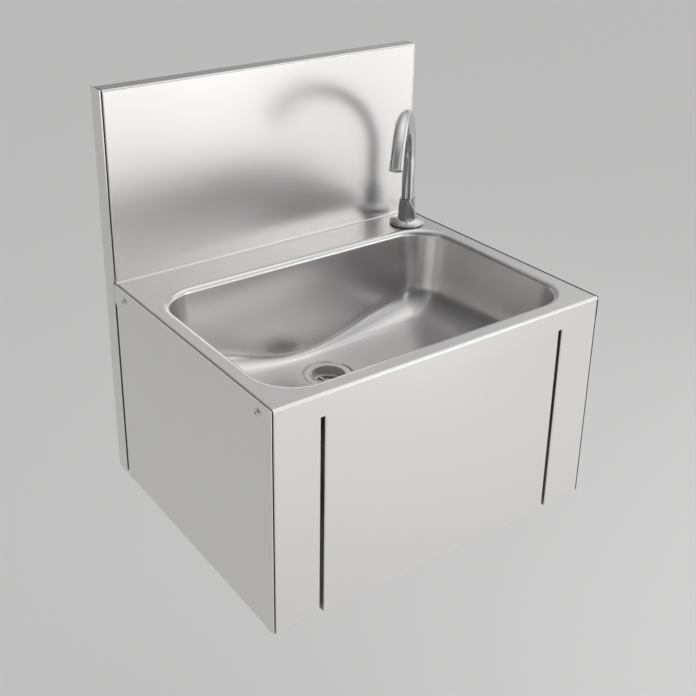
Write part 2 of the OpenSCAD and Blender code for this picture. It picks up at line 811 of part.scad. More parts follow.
module tap_flange() {
    rim_h = 2.2;
    dome_r = (pow(flange_r - 12, 2) + pow(flange_h - rim_h, 2)) / (2 * (flange_h - rim_h));
    color(chrome) translate([tap_x, tap_y, gasket_t]) difference() {
        rotate_extrude($fn = 96) union() {
            square([flange_r - 1, rim_h]);
            translate([0, 0.6]) square([flange_r, rim_h - 0.6]);
            intersection() {
                translate([12, flange_h - dome_r]) circle(dome_r, $fn = 128);
                translate([12, rim_h - eps]) square([flange_r - 12, flange_h]);
            }
            square([12, flange_h]);
        }
        translate([0, 0, -1]) cylinder(r = shank_r + run_clear, h = flange_h + 2);
    }
}

module tap_hex_body() {
    color(chrome) at_tap() difference() {
        translate([0, 0, flange_top]) cylinder(r1 = hex_r_bottom, r2 = hex_r_top, h = hex_h, $fn = 6);
        translate([0, 0, flange_top - 1]) cylinder(r = shank_bore_r, h = hex_h + 2);
        translate([0, 0, spout_foot]) cylinder(r = spout_r + run_clear, h = hex_h);
    }
}

module tap_shank() {
    color(brass) translate([tap_x, tap_y, shank_bottom])
        tube(shank_r, shank_bore_r, flange_top - shank_bottom);
}

module tap_washer() {
    color(dark_steel) translate([tap_x, tap_y, -sheet_t - washer_t]) tube(washer_r, shank_r + 0.3, washer_t);
}

module tap_lock_nut() {
    color(brass) translate([tap_x, tap_y, -sheet_t - washer_t - lock_nut_t]) difference() {
        hex(30, lock_nut_t);
        translate([0, 0, -1]) cylinder(r = shank_r + run_clear, h = lock_nut_t + 2);
    }
}

seal_zs = [20, 27];
seal_wire_r = 0.9;
seal_groove = 1.8;

// Puts its children at the lower end of the arch, with +Z along the flow.
module at_arch_end() {
    translate([arch_r * (cos(arch_angle) - 1), 0, riser_h + arch_r * sin(arch_angle)])
        rotate([0, -arch_angle, 0]) children();
}

module spout_tube() {
    bore = spout_r - spout_wall;
    step = 0.02;
    color(chrome) at_tap() {
        difference() {
            translate([0, 0, spout_foot]) cylinder(r = spout_r, h = riser_h - spout_foot);
            translate([0, 0, hex_top]) cylinder(r = bore, h = riser_h);
            translate([0, 0, spout_foot - 1]) cylinder(r = bore - 1.5, h = riser_h);
            for (z = seal_zs) translate([0, 0, z]) rotate_extrude() translate([spout_r - seal_groove, -1])
                square([seal_groove + 1, 2]);
        }
        translate([-arch_r, 0, riser_h]) rotate([90, 0, 0])
            rotate_extrude(angle = arch_angle, $fn = 96) translate([arch_r, 0]) difference() {
                circle(spout_r, $fn = 40);
                circle(bore, $fn = 40);
            }
        at_arch_end() translate([0, 0, -0.1]) tube(spout_r - step, bore + step, spout_straight + 0.1);
    }
}

module spout_seals() {
    color(rubber) at_tap() for (z = seal_zs) translate([0, 0, z])
        rotate_extrude() translate([spout_r - seal_wire_r + 0.02, 0]) circle(seal_wire_r, $fn = 24);
}

module aerator_housing() {
    color(chrome) at_tap() at_arch_end() translate([0, 0, spout_straight]) difference() {
        cylinder(r = aerator_r, h = aerator_l);
        translate([0, 0, -1]) cylinder(r = 7, h = aerator_l + 2);
        translate([0, 0, 3]) cylinder(r = 8, h = aerator_l);
    }
}

module aerator_insert() {
    color(white_plastic) at_tap() at_arch_end() translate([0, 0, spout_straight + 3]) difference() {
        cylinder(r = 7.95, h = 7.5);
        for (ring = [[0, 1], [2.4, 6], [4.8, 12]], k = [0 : ring[1] - 1])
            rotate([0, 0, 360 * k / ring[1]]) translate([ring[0], 0, -1]) cylinder(r = 0.8, h = 10, $fn = 16);
    }
}

/* ---- waste and trap ---- */

// Flange and strainer cup in one: the cup's floor is a ring, a boss and the bars between them.
module waste_flange() {
    cup_wall = 1.2;
    floor_t = 2.5;
    boss_r = 6;
    top = recess_z + waste_plate_t;
    color(chrome) translate([0, waste_y, 0]) {
        rotate_extrude($fn = 96) polygon([[waste_bore_r, top + 1], [waste_bore_r + 0.4, top + 1.6],
            [waste_bore_r + 1.4, top + 1.6], [waste_bore_r + 3, top],
            [waste_r - 1, top - 0.3], [waste_r, top - 1], [waste_r, recess_z],
            [waste_bore_r + cup_wall, recess_z], [waste_bore_r - 0.8 + cup_wall, cup_bottom],
            [waste_bore_r - 3, cup_bottom], [waste_bore_r - 3, cup_bottom + floor_t],
            [waste_bore_r - 0.8, cup_bottom + floor_t]]);
        translate([0, 0, cup_bottom]) tube(boss_r, 3.05, 4);
        for (k = [0 : 3]) rotate([0, 0, 90 * k]) translate([boss_r - 0.4, -1.5, cup_bottom])
            cube([waste_bore_r - boss_r - 2.1, 3, floor_t]);
    }
}

module waste_screw() {
    color(chrome) translate([0, waste_y, 0]) {
        translate([0, 0, cup_bottom + 4]) difference() {
            cylinder(r = 5, h = 2.2);
            translate([-6, -0.7, 1]) cube([12, 1.4, 2]);
        }
        translate([0, 0, waste_body_bottom + 1]) cylinder(r = 3, h = cup_bottom + 4 - waste_body_bottom - 1);
    }
}

module waste_seal() {
    color(rubber) translate([0, waste_y, body_top]) tube(33, drain_hole_r + 0.6, seal_t);
}

// The funnel under the bowl, with a threaded bridge for the screw and a threaded tail for the trap.
module waste_body() {
    inner = waste_bore_r + 2.4;
    color(white_plastic) translate([0, waste_y, 0]) {
        difference() {
            union() {
                translate([0, 0, body_top - 3]) cylinder(r = 34, h = 3);
                translate([0, 0, waste_body_bottom])
                    cylinder(r = inner + 2.5, h = body_top - waste_body_bottom);
                translate([0, 0, tail_bottom]) cylinder(r = tail_r, h = waste_body_bottom - tail_bottom + 1);
            }
            translate([0, 0, waste_body_bottom + 3]) cylinder(r = inner, h = 60);
            difference() {
                translate([0, 0, tail_bottom - 1]) cylinder(r = 18, h = 40);
                translate([0, 0, waste_body_bottom]) {
                    translate([-20, -2, 0]) cube([40, 4, 5]);
                    cylinder(r = 6, h = 5);
                }
            }
            translate([0, 0, waste_body_bottom - 1]) cylinder(r = 3 + run_clear, h = 20);
        }
    }
}

// A round nut with grips round its edge.
module gripped_nut(r, bore, h, grips) {
    difference() {
        cylinder(r = r, h = h);
        translate([0, 0, -1]) cylinder(r = bore, h = h + 2);
        for (k = [0 : grips - 1]) rotate([0, 0, 360 * k / grips]) translate([r + 0.8, 0, 2])
            cylinder(r = 2, h = h, $fn = 24);
    }
}

module trap_inlet_nut() {
    color(white_plastic) translate([0, waste_y, tail_bottom - 5]) difference() {
        gripped_nut(26, outlet_r + 0.3, 16, 12);
        translate([0, 0, 3]) cylinder(r = tail_r + run_clear, h = 20);
    }
}

module trap_inlet_pipe() {
    color(white_plastic) translate([0, waste_y, trap_bottom + 22])
        tube(outlet_r, outlet_r - pipe_wall, tail_bottom - trap_bottom - 22);
}

module trap_body() {
    color(white_plastic) difference() {
        union() {
            translate([0, waste_y, trap_split]) cylinder(r = trap_r, h = trap_top - trap_split);
            translate([0, waste_y + stub_start, outlet_z]) rotate([-90, 0, 0])
                cylinder(r = stub_r, h = trap_r + 16 - stub_start);
        }
        translate([0, waste_y, trap_split - 1])
            cylinder(r = trap_r - trap_wall, h = trap_top - trap_split - 2);
        translate([0, waste_y, trap_split]) cylinder(r = outlet_r + 0.3, h = 60);
        translate([0, waste_y, outlet_z]) rotate([-90, 0, 0]) translate([0, 0, 24])
            cylinder(r = outlet_r - pipe_wall, h = 40);
        translate([0, waste_y, outlet_z]) rotate([-90, 0, 0]) translate([0, 0, trap_r + 4])
            cylinder(r = outlet_r + 0.3, h = 40);
    }
}

module trap_cup() {
    inner_r = trap_r - trap_wall;
    color(white_plastic) translate([0, waste_y, 0]) difference() {
        union() {
            rotate_extrude($fn = 96) polygon([[0, trap_bottom], [18, trap_bottom], [25, trap_bottom + 4],
                [27, trap_bottom + 14], [trap_r, trap_bottom + 30], [trap_r, trap_split - 2.05],
                [0, trap_split - 2.05]]);
            translate([0, 0, trap_split - 2.05]) cylinder(r = inner_r - 0.3, h = 9);
        }
        translate([0, 0, trap_bottom + 28]) cylinder(r = inner_r - 3, h = 60);
        translate([0, 0, trap_bottom + 3]) cylinder(r1 = 20, r2 = inner_r - 3, h = 25 + eps);
    }
}

module trap_seals() {
    color(rubber) {
        translate([0, waste_y, trap_split - 2]) tube(trap_r - 0.4, trap_r - trap_wall, 2);
        translate([0, waste_y + trap_r + 4.1, outlet_z]) rotate([-90, 0, 0])
            tube(outlet_r + 0.2, outlet_r - 2.4, 2);
    }
}

module trap_outlet_nut() {
    color(white_plastic) translate([0, waste_y + nut_start, outlet_z]) rotate([-90, 0, 0]) difference() {
        gripped_nut(25, outlet_r + 0.2, nut_l, 12);
        translate([0, 0, -1]) cylinder(r = stub_r + run_clear, h = 14.1);
    }
}

module outlet_pipe() {
    start = waste_y + trap_r + 6.3;
    bead_y = waste_y + nut_start + nut_l + 0.5;
    color(white_plastic) {
        translate([0, start, outlet_z]) rotate([-90, 0, 0])
            tube(outlet_r, outlet_r - pipe_wall, -0.5 - start);
        translate([0, bead_y, outlet_z]) rotate([-90, 0, 0]) tube(outlet_r + 1, outlet_r - 0.5, bead_l);
    }
}

sink_sheet();
bowl();
left_side_panel();
right_side_panel();
wall_frame();
panel_screws();
panel_rivet_nuts();
frame_screws();
knee_panel();
knee_buffer();
valve_bar();
bar_studs();
bar_nuts();
valve_body();
valve_end_cap();
valve_plunger();
valve_spring();
valve_lock_nut();
supply_nipple();
tap_hose();
hose_union_nuts();
tap_gasket();
tap_flange();
tap_hex_body();
tap_shank();
tap_washer();
tap_lock_nut();
spout_tube();
spout_seals();
aerator_housing();
aerator_insert();
waste_flange();
waste_screw();
waste_seal();
waste_body();
trap_inlet_nut();
trap_inlet_pipe();
trap_body();
trap_cup();
trap_seals();
trap_outlet_nut();
outlet_pipe();
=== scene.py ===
"""Looks for the wall-hung hand wash sink: satin steel sheet, a pressed bowl, a chrome swan-neck spout.

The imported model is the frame. X runs along the wall, +Y points into the wall and +Z is up. Metres.
"""

import math

import bpy
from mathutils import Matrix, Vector
from mathutils.geometry import interpolate_bezier


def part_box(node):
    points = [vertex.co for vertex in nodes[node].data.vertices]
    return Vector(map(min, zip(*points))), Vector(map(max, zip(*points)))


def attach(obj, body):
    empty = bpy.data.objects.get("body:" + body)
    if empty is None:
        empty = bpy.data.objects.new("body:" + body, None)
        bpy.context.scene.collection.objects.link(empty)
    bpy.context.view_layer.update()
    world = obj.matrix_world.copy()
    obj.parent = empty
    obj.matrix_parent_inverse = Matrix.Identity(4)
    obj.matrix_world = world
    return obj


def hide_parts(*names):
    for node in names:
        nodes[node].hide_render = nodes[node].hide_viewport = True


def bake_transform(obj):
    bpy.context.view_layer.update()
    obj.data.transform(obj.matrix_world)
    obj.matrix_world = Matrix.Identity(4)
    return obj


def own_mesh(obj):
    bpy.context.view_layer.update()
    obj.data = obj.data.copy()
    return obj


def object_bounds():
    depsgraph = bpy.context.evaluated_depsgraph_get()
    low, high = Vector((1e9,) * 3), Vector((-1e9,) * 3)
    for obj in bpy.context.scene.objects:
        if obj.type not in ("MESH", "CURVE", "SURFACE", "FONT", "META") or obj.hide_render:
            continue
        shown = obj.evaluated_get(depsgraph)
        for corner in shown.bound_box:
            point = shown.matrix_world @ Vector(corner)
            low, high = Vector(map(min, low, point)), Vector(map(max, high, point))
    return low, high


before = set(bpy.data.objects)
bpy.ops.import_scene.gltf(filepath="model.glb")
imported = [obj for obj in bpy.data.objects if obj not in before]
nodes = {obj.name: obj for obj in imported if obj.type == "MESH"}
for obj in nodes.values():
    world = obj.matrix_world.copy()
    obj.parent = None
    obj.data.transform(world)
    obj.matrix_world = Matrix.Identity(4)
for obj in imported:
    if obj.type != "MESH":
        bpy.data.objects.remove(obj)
cad_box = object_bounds()

MM = 0.001

# --------------------------------------------------------------------------------------------
# Shader maths
# --------------------------------------------------------------------------------------------


class Term:
    """A node's output that takes part in Python expressions."""

    def __init__(self, graph, socket):
        self.graph = graph
        self.socket = socket

    def __add__(self, other):
        return self.graph.math("ADD", self, other)

    def __radd__(self, other):
        return self.graph.math("ADD", other, self)

    def __sub__(self, other):
        return self.graph.math("SUBTRACT", self, other)

    def __rsub__(self, other):
        return self.graph.math("SUBTRACT", other, self)

    def __mul__(self, other):
        return self.graph.math("MULTIPLY", self, other)

    def __rmul__(self, other):
        return self.graph.math("MULTIPLY", other, self)


class Graph:
    """Nodes of a material or of the world, built from expressions."""

    def __init__(self, tree):
        self.tree = tree

    def plug(self, socket, value):
        if isinstance(value, Term):
            self.tree.links.new(value.socket, socket)
        elif socket.type == "RGBA":
            socket.default_value = (*value, 1.0)
        else:
            socket.default_value = value

    def node(self, kind, settings=None, inputs=None, output=0):
        made = self.tree.nodes.new(kind)
        for key, value in (settings or {}).items():
            setattr(made, key, value)
        for key, value in (inputs or {}).items():
            self.plug(made.inputs[key], value)
        return Term(self, made.outputs[output])

    def math(self, operation, *inputs):
        return self.node("ShaderNodeMath", {"operation": operation}, dict(enumerate(inputs)))

    def part(self, vector, axis):
        """One part of a vector, by the letter or the number of its axis."""
        return self.node("ShaderNodeSeparateXYZ", inputs={"Vector": vector}, output=axis)

    def wave(self, angle):
        """A wave between 0 and 1."""
        return 0.5 + 0.5 * self.math("SINE", angle)


class Shader(Graph):
    """A material with one Principled shader."""

    def __init__(self, name, color, roughness, metallic=0.0):
        self.material = bpy.data.materials.new(name)
        self.material.use_nodes = True
        super().__init__(self.material.node_tree)
        self.principled = self.tree.nodes["Principled BSDF"]
        self.set("Base Color", color)
        self.set("Roughness", roughness)
        self.set("Metallic", metallic)

    def set(self, socket, value):
        self.plug(self.principled.inputs[socket], value)

    def place(self, scale=(1, 1, 1)):
        """Object coordinates, stretched."""
        coords = self.node("ShaderNodeTexCoord", output="Object")
        return self.node("ShaderNodeMapping", inputs={"Vector": coords, "Scale": scale})

    def within(self, box):
        """1 inside a box, 0 outside; None leaves a side of it open."""
        inside = 1.0
        for axis, limits in enumerate(zip(*box)):
            at = self.part(self.place(), axis)
            for limit, compare in zip(limits, ("GREATER_THAN", "LESS_THAN")):
                if limit is not None:
                    inside = inside * self.math(compare, at, limit)
        return inside

    def noise(self, vector, scale, detail=2.0, roughness=0.5):
        return self.node(
            "ShaderNodeTexNoise",
            inputs={"Vector": vector, "Scale": scale, "Detail": detail, "Roughness": roughness},
        )

    def blend(self, factor, a, b):
        return self.node(
            "ShaderNodeMix", {"data_type": "RGBA"}, {0: factor, 6: a, 7: b}, output=2
        )

    def bump(self, height, strength, distance):
        inputs = {"Height": height, "Strength": strength, "Distance": distance}
        self.set("Normal", self.node("ShaderNodeBump", inputs=inputs))


# --------------------------------------------------------------------------------------------
# Camera
# --------------------------------------------------------------------------------------------


def toward(azimuth, elevation):
    """A direction; azimuth 0 is straight in front of the sink and 90 is to its right."""
    turn, rise = math.radians(azimuth), math.radians(elevation)
    return Vector(
        (math.sin(turn) * math.cos(rise), -math.cos(turn) * math.cos(rise), math.sin(rise))
    )


def aim(obj, place, direction):
    obj.location = place
    obj.rotation_mode = "QUATERNION"
    obj.rotation_quaternion = direction.to_track_quat("-Z", "Y")


CAMERA_AT = (-0.754, -1.2179, 0.5818)
CAMERA_AZIMUTH = -34.11
CAMERA_ELEVATION = 22.47
SENSOR_W = 36.0
LENS = 54.7
SHIFT_X = 0.0635
SHIFT_Y = -0.15

camera_data = bpy.data.cameras.new("camera")
camera_data.sensor_width = SENSOR_W
camera_data.lens = LENS
camera_data.shift_x = SHIFT_X
camera_data.shift_y = SHIFT_Y
camera = bpy.data.objects.new("camera", camera_data)
bpy.context.scene.collection.objects.link(camera)
bpy.context.scene.camera = camera
aim(camera, CAMERA_AT, -toward(CAMERA_AZIMUTH, CAMERA_ELEVATION))

# --------------------------------------------------------------------------------------------
# Tap hose
# --------------------------------------------------------------------------------------------

HOSE_D = 11 * MM
HOSE_LENGTH = 443.5 * MM
# From the valve's union nut, in one low curve, up to the shank under the tap.
HOSE_ROUTE = [
    Vector(point) * MM
    for point in (
        (36, -332, -179),
        (46, -332, -179),
        (56, -332, -179),
        (80, -329, -181),
        (106, -314, -188),
        (132, -285, -201),
        (155, -245, -214),
        (173, -203, -222),
        (189, -160, -222),
        (202, -120, -207),
        (208, -89, -180),
        (210, -74.5, -150),
        (210, -71.5, -122),
        (210, -71.5, -104),
        (210, -71.5, -84),
    )
]
# Steps from one of the route's points to the next, and the fineness of the tube's section.
HOSE_STEPS = 6
HOSE_ROUNDNESS = 6


def clear_selection():
    for obj in list(bpy.context.selected_objects):
        obj.select_set(False)
    bpy.context.view_layer.objects.active = None


def select_only(obj):
    clear_selection()
    obj.select_set(True)
    bpy.context.view_layer.objects.active = obj


def smooth_path(route, steps):
    """Points on the smooth curve through the route's points."""
    last = len(route) - 1
    # A handle is a sixth of the way between the two neighbours of its point.
    reach = [
        (route[min(index + 1, last)] - route[max(index - 1, 0)]) / 6 for index in range(last + 1)
    ]
    path = []
    for index in range(last):
        start, end = route[index], route[index + 1]
        path += interpolate_bezier(
            start, start + reach[index], end - reach[index + 1], end, steps + 1
        )[:-1]
    return path + [route[last]]


def tube_along(path, diameter, roundness):
    """A mesh tube along a path, with UVs along it and round it."""
    curve = bpy.data.curves.new("path", "CURVE")
    curve.dimensions = "3D"
    curve.bevel_depth = diameter / 2
    curve.bevel_resolution = roundness
    spline = curve.splines.new("POLY")
    spline.points.add(len(path) - 1)
    for point, place in zip(spline.points, path):
        point.co = (*place, 1.0)
    tube = bpy.data.objects.new("tube", curve)
    bpy.context.scene.collection.objects.link(tube)
    select_only(tube)
    bpy.ops.object.convert(target="MESH")
    return bpy.context.view_layer.objects.active


hose_path = smooth_path(HOSE_ROUTE, HOSE_STEPS)
hose = tube_along(hose_path, HOSE_D, HOSE_ROUNDNESS)

# --------------------------------------------------------------------------------------------
# Finishes
# --------------------------------------------------------------------------------------------

STEEL = (0.8, 0.79, 0.787)
SATIN_LOW = (0.79, 0.78, 0.777)
SATIN_HIGH = (0.81, 0.8, 0.797)
# Painted shade: the mill-finish sheet inside the casing is coloured dark, so the slots and seams look
# shaded.
MILL_STEEL_IN_SHADE = (0.3, 0.3, 0.295)

# The stretch of the scratches: long along one axis and fine across it, or short all ways.
LONG = 30
FINE = 2600
SHORT = 700
GRAIN_X = (LONG, FINE, FINE)
GRAIN_Y = (FINE, LONG, FINE)
GRAIN_Z = (FINE, FINE, LONG)
GRAIN_PRESSED = (SHORT, SHORT, SHORT)

SATIN_ROUGHNESS = 0.27
PRESSED_ROUGHNESS = 0.24
# Painted shade: the bowl's steel is coloured a little darker, as the shade in its hollow.
BOWL_SHADE_TONE = 0.93
WASTE_ROUGHNESS = 0.45
SCREW_ROUGHNESS = 0.25

TAP_THREAD_PITCH = 1.34 * MM
INLET_THREAD_PITCH = 1.81 * MM
INLET_THREAD_L = 22 * MM
BRAID_WIRES = 12
# The length of hose in which a wire goes once round it, in times the hose's girth.
BRAID_LAY = 1.2


def satin_steel(name, grain, roughness=SATIN_ROUGHNESS, inside=(), tone=1.0):
    """Sheet with a fine grain, brighter and rougher along its scratches.

    Faces within the boxes of inside get the rougher mill finish and painted shade, a much darker
    colour. A tone below 1 is darker.
    """
    s = Shader(name, STEEL, roughness, 1.0)
    scratches = s.noise(s.place(grain), 1.0, detail=3.0, roughness=0.6)
    streaks = s.noise(s.place([stretch / 5 for stretch in grain]), 1.0)
    grit = 0.8 * scratches + 0.2 * streaks
    mill_and_shade = 0.0
    for box in inside:
        mill_and_shade = mill_and_shade + s.within(box)
    low, high = [[tone * part for part in colour] for colour in (SATIN_LOW, SATIN_HIGH)]
    brushed = s.blend(grit, low, high)
    # Painted shade: the faces inside the casing take the dark mill colour.
    s.set("Base Color", s.blend(mill_and_shade, brushed, MILL_STEEL_IN_SHADE) if inside else brushed)
    s.set("Roughness", roughness - 0.01 + 0.02 * grit + 0.2 * mill_and_shade)
    return s.material


def shaded_mill_steel(name):
    """The back of the sheet: the rougher mill finish, with painted shade as its dark colour."""
    s = Shader(name, MILL_STEEL_IN_SHADE, 0.47, 1.0)
    haze = s.noise(s.place(), 400.0, detail=3.0)
    s.set("Base Color", s.blend(haze, (0.28, 0.28, 0.275), (0.32, 0.32, 0.315)))
    s.set("Roughness", 0.45 + 0.04 * haze)
    return s.material


def turned_steel(name, dark, light, roughness):
    """Turned parts: the waste and the screws."""
    s = Shader(name, light, roughness, 1.0)
    haze = s.noise(s.place(), 250.0, detail=3.0)
    s.set("Base Color", s.blend(haze, dark, light))
    s.set("Roughness", roughness - 0.05 + 0.1 * haze)
    return s.material


def chrome_plate(name):
    s = Shader(name, (0.63, 0.63, 0.635), 0.03, 1.0)
    haze = s.noise(s.place(), 60.0)
    s.set("Base Color", s.blend(haze, (0.61, 0.61, 0.615), (0.65, 0.65, 0.655)))
    s.set("Roughness", 0.02 + 0.02 * haze)
    return s.material


def zinc_steel(name):
    """Zinc-plated small parts, with the mottle of the plating."""
    s = Shader(name, (0.5, 0.5, 0.49), 0.4, 1.0)
    mottle = s.noise(s.place(), 350.0, detail=3.0)
    s.set("Base Color", s.blend(mottle, (0.42, 0.42, 0.41), (0.6, 0.6, 0.58)))
    s.set("Roughness", 0.3 + 0.2 * mottle)
    return s.material


def turned_brass(name, thread_pitch=0.0, thread_top=0.0):
    """Brass; a pitch cuts an upright thread into it, below thread_top."""
    s = Shader(name, (0.72, 0.53, 0.26), 0.3, 1.0)
    tarnish = s.noise(s.place(), 120.0, detail=4.0)
    s.set("Base Color", s.blend(tarnish, (0.55, 0.38, 0.17), (0.8, 0.6, 0.32)))
    s.set("Roughness", 0.22 + 0.22 * tarnish)
    if thread_pitch:
        height = s.part(s.place(), "Z")
        cut = s.math("LESS_THAN", height, thread_top)
        turns = s.wave(2 * math.pi / thread_pitch * height)
        s.bump(cut * turns, strength=0.9, distance=0.6 * MM)
    return s.material


def steel_braid(name, length, diameter):
    """Fine wires that cross round a hose, on its own UVs."""
    s = Shader(name, (0.62, 0.62, 0.61), 0.35, 1.0)
    uv = s.node("ShaderNodeTexCoord", output="UV")
    along, across = s.part(uv, "X"), s.part(uv, "Y")
    turns = length / (math.pi * diameter * BRAID_LAY)
    over = s.wave(2 * math.pi * BRAID_WIRES * (across + turns * along))
    under = s.wave(2 * math.pi * BRAID_WIRES * (across - turns * along))
    height = s.math("MAXIMUM", over, under)
    s.set("Base Color", s.blend(height, (0.2, 0.2, 0.195), (0.72, 0.715, 0.7)))
    s.set("Roughness", 0.5 - 0.2 * height)
    s.bump(height, strength=0.6, distance=0.4 * MM)
    return s.material


def rubber(name):
    s = Shader(name, (0.025, 0.025, 0.025), 0.7)
    s.set("Roughness", 0.6 + 0.25 * s.noise(s.place(), 300.0, detail=3.0))
    return s.material


def moulded_plastic(name):
    s = Shader(name, (0.78, 0.78, 0.76), 0.45)
    texture = s.noise(s.place(), 900.0)
    s.set("Base Color", s.blend(s.noise(s.place(), 30.0), (0.74, 0.74, 0.71), (0.8, 0.8, 0.78)))
    s.set("Roughness", 0.38 + 0.14 * texture)
    s.bump(texture, strength=0.1, distance=0.05 * MM)
    return s.material


# The hollows of the casing, a skin's depth behind its outer faces, where the sheet has the mill finish
# and painted shade.
SKIN = 1.0 * MM
SPLASH_Y = -29 * MM
casing_low, casing_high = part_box("left_side_panel")[0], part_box("right_side_panel")[1]
apron_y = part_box("sink_sheet")[0][1]
splash_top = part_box("sink_sheet")[1][2]
under_deck = ((None, apron_y + SKIN, None), (None, None, -SKIN))
behind_splash = ((None, SPLASH_Y + SKIN, -SKIN), (None, None, splash_top - SKIN))
between_panels = (
    (casing_low[0] + SKIN, None, casing_low[2] + SKIN),
    (casing_high[0] - SKIN, casing_high[1] - SKIN, None),
)
shank_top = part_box("tap_shank")[1][2]
inlet_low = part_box("supply_nipple")[0][2]

along_wall = satin_steel("satin_steel", GRAIN_X, inside=(under_deck, behind_splash))
flap_front = satin_steel("satin_steel_flap", GRAIN_X)
# Painted shade: the flap's back, inside the casing, is coloured as dark mill steel.
flap_back_shaded = shaded_mill_steel("mill_steel_flap_painted_shade")
from_wall = satin_steel("satin_steel_side", GRAIN_Y, inside=(between_panels,))
pressed = satin_steel("satin_steel_bowl", GRAIN_PRESSED, PRESSED_ROUGHNESS, tone=BOWL_SHADE_TONE)
upright = satin_steel("satin_steel_upright", GRAIN_Z)
waste = turned_steel(
    "turned_steel_waste", (0.82, 0.81, 0.805), (0.88, 0.87, 0.865), WASTE_ROUGHNESS
)
screw_heads = turned_steel(
    "turned_steel_screws", (0.64, 0.635, 0.63), (0.76, 0.755, 0.75), SCREW_ROUGHNESS
)
chrome = chrome_plate("chrome_plate")
zinc = zinc_steel("zinc_steel")
brass = turned_brass("turned_brass")
tap_thread = turned_brass("threaded_brass_tap", TAP_THREAD_PITCH, shank_top)
inlet_thread = turned_brass("threaded_brass_inlet", INLET_THREAD_PITCH, inlet_low + INLET_THREAD_L)
braid = steel_braid("steel_braid", HOSE_LENGTH, HOSE_D)
black_rubber = rubber("black_rubber")
white_plastic = moulded_plastic("white_plastic")

FINISHES = {
    along_wall: ["sink_sheet"],
    flap_front: ["knee_panel"],
    from_wall: ["left_side_panel", "right_side_panel"],
    upright: ["wall_frame"],
    pressed: ["bowl"],
    waste: ["waste_flange", "waste_screw"],
    screw_heads: ["panel_screws"],
    chrome: ["tap_flange", "tap_hex_body", "spout_tube", "aerator_housing"],
    zinc: [
        "panel_rivet_nuts",
        "frame_screws",
        "valve_bar",
        "bar_studs",
        "bar_nuts",
        "valve_spring",
        "tap_washer",
    ],
    brass: [
        "valve_body",
        "valve_end_cap",
        "valve_lock_nut",
        "hose_union_nuts",
        "tap_lock_nut",
    ],
    tap_thread: ["tap_shank"],
    inlet_thread: ["supply_nipple"],
    black_rubber: ["knee_buffer", "tap_gasket", "spout_seals", "waste_seal", "trap_seals"],
    white_plastic: [
        "valve_plunger",
        "aerator_insert",
        "waste_body",
        "trap_inlet_nut",
        "trap_inlet_pipe",
        "trap_body",
        "trap_cup",
        "trap_outlet_nut",
        "outlet_pipe",
    ],
}
for finish, names in FINISHES.items():
    for name in names:
        for slot in nodes[name].material_slots:
            slot.material = finish


# --------------------------------------------------------------------------------------------
# Pieces
# --------------------------------------------------------------------------------------------

MERGE_DISTANCE = 0.02 * MM
BOWL_SMOOTH_ANGLE = 40
SPRING_SMOOTH_ANGLE = 60
PANEL_SMOOTH_ANGLE = 25

# Rows of cuts across the knee panel, from the slots' tops down.
BEND_TOP = -29 * MM
BEND_DEPTH = 25 * MM
BEND_ROWS = 10
JOIN_GAP = 0.1 * MM


def finish_piece(obj, name, material):
    obj.name = name
    obj.data.materials.clear()
    obj.data.materials.append(material)
    return obj


def open_for_edit(obj):
    select_only(obj)
    bpy.ops.object.mode_set(mode="EDIT")
    bpy.ops.mesh.select_all(action="SELECT")


def smooth_copy(node, name, angle):
    """A copy of a CAD node, merged and shaded smooth, that stands for it."""
    obj = nodes[node].copy()
    obj.data = nodes[node].data.copy()
    for key in list(obj.keys()):
        del obj[key]
    obj.parent = None
    bpy.context.scene.collection.objects.link(obj)
    select_only(obj)
    bpy.ops.mesh.customdata_custom_splitnormals_clear()
    open_for_edit(obj)
    bpy.ops.mesh.remove_doubles(threshold=MERGE_DISTANCE)
    bpy.ops.object.mode_set(mode="OBJECT")
    bpy.ops.object.shade_smooth_by_angle(angle=math.radians(angle))
    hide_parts(node)
    return finish_piece(obj, name, nodes[node].material_slots[0].material)


def squeezed_spring():
    """A smoothed copy of the spring, held on the casing, with a mesh of its own."""
    spring = smooth_copy("valve_spring", "squeezed_spring", SPRING_SMOOTH_ANGLE)
    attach(spring, "casing")
    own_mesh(spring)


def bending_knee_panel():
    """The knee panel, smoothed, cut in rows across its top and raised to meet the band above it."""
    panel = smooth_copy("knee_panel", "knee_flap_sheet", PANEL_SMOOTH_ANGLE)
    open_for_edit(panel)
    for row in range(1, BEND_ROWS + 1):
        bpy.ops.mesh.select_all(action="SELECT")
        bpy.ops.mesh.bisect(
            plane_co=(0, 0, BEND_TOP - BEND_DEPTH * row / BEND_ROWS), plane_no=(0, 0, 1)
        )
    bpy.ops.mesh.select_all(action="DESELECT")
    bpy.ops.object.mode_set(mode="OBJECT")
    # Its top edge goes up by the gap to the band, so that no line shows between them.
    for vertex in panel.data.vertices:
        vertex.select = vertex.co.z > BEND_TOP - 1.5 * JOIN_GAP
    bpy.ops.object.mode_set(mode="EDIT")
    bpy.ops.transform.translate(value=(0, 0, JOIN_GAP))
    bpy.ops.object.mode_set(mode="OBJECT")
    # The mill-finish side, with its painted shade, goes by face here and not by place.
    panel.data.materials.append(flap_back_shaded)
    for face in panel.data.polygons:
        face.material_index = int(face.center.y > apron_y + SKIN)
    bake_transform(panel)


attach(smooth_copy("bowl", "pressed_bowl", BOWL_SMOOTH_ANGLE), "casing")
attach(finish_piece(hose, "braided_hose", braid), "casing")
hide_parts("tap_hose")
squeezed_spring()
bending_knee_panel()


# --------------------------------------------------------------------------------------------
# Studio
# --------------------------------------------------------------------------------------------

FLOOR_DROP = 0.75
FLOOR_R = 14.0
FLOOR_SIDES = 96

MIDDLE = Vector((0, -0.2, -0.05))
SOFT_BOX_DISTANCE = 2.4
SOFT_BOX_W = 1.2
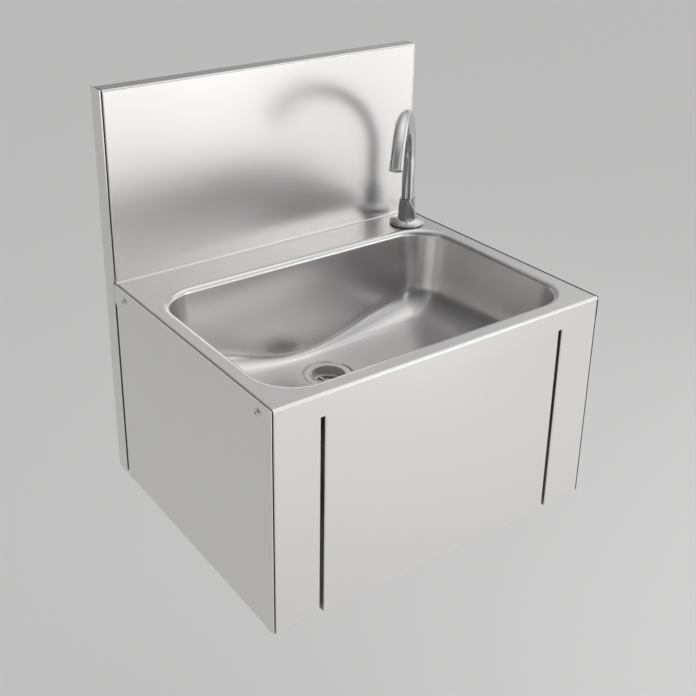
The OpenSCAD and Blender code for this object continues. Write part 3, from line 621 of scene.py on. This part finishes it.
# Azimuth, elevation, height and power of each soft box round the sink.
SOFT_BOXES = [
    (0, -8, 0.6, 1.58),
    (15, -8, 0.6, 0.8),
    (45, -8, 0.6, 0.23),
    (60, -8, 0.6, 0.85),
    (0, 4, 0.9, 2.38),
    (30, 4, 0.9, 1.96),
    (60, 4, 0.9, 1.9),
    (90, 4, 0.9, 2.38),
]

DOWN_BOX_Z = 1.0
DOWN_BOX_W = 1.2
# X, Y and power of the square boxes that hang over the floor.
DOWN_BOXES = [
    (2.4, -3.2, 18.9),
    (0.6, -2.8, 3.8),
    (0.8, -1.8, 1.4),
    (-1.6, 0.6, 0.8),
]

# A tall strip on the tap's side puts the upright highlight on the chrome.
STRIP_AIM = Vector((0.21, -0.07, 0.03))
STRIP_AZIMUTH = 22
STRIP_DISTANCE = 1.6
STRIP_W = 0.35
STRIP_H = 1.5
STRIP_POWER = 0.6

GLOW_SHARPNESS = 3
# Azimuth, elevation and strength of the broad glows of the room.
GLOWS = [
    (90, 45, 0.95),
    (0, 90, 0.395),
    (225, 5, 0.35),
]
# The light from all round, and the pale band that is added to it at eye height.
AMBIENT = 0.09
HORIZON = 0.5
HORIZON_SHARPNESS = 40


def soft_box(name, place, target, width, height, power):
    data = bpy.data.lights.new(name, "AREA")
    data.shape = "RECTANGLE"
    data.size = width
    data.size_y = height
    data.energy = power
    lamp = bpy.data.objects.new(name, data)
    lamp.visible_camera = False
    bpy.context.scene.collection.objects.link(lamp)
    aim(lamp, place, target - place)


def studio_floor():
    clear_selection()
    bpy.ops.mesh.primitive_circle_add(
        vertices=FLOOR_SIDES,
        radius=FLOOR_R,
        fill_type="NGON",
        location=(0, 0, cad_box[0][2] - FLOOR_DROP),
    )
    floor = bpy.context.active_object
    floor.name = "studio_floor"
    floor.data.materials.append(Shader("floor_paint", (0.86, 0.86, 0.855), 0.9).material)


def studio_lamps():
    for number, (azimuth, elevation, height, power) in enumerate(SOFT_BOXES):
        place = MIDDLE + toward(azimuth, elevation) * SOFT_BOX_DISTANCE
        soft_box(f"soft_box_{number}", place, MIDDLE, SOFT_BOX_W, height, power)
    for number, (x, y, power) in enumerate(DOWN_BOXES):
        place, below = Vector((x, y, DOWN_BOX_Z)), Vector((x, y, 0))
        soft_box(f"down_box_{number}", place, below, DOWN_BOX_W, DOWN_BOX_W, power)
    place = STRIP_AIM + toward(STRIP_AZIMUTH, 0) * STRIP_DISTANCE
    soft_box("strip_box", place, STRIP_AIM, STRIP_W, STRIP_H, STRIP_POWER)


def studio_room():
    """The world: an even low light, a pale band at eye height and broad glows."""
    world = bpy.data.worlds.new("studio")
    bpy.context.scene.world = world
    world.use_nodes = True
    room = Graph(world.node_tree)
    view = room.node("ShaderNodeTexCoord", output="Generated")
    height = room.part(view, "Z")
    glow = AMBIENT + HORIZON * room.math("POWER", 1 - height * height, HORIZON_SHARPNESS)
    for azimuth, elevation, strength in GLOWS:
        facing = room.node(
            "ShaderNodeVectorMath",
            {"operation": "DOT_PRODUCT"},
            {0: view, 1: toward(azimuth, elevation)},
            output="Value",
        )
        facing = room.math("POWER", room.math("MAXIMUM", facing, 0.0), GLOW_SHARPNESS)
        glow = glow + strength * facing
    background = world.node_tree.nodes["Background"]
    room.plug(background.inputs["Color"], (1.0, 1.0, 1.0))
    room.plug(background.inputs["Strength"], glow)


studio_floor()
studio_lamps()
studio_room()
bpy.context.scene.view_settings.view_transform = "Standard"
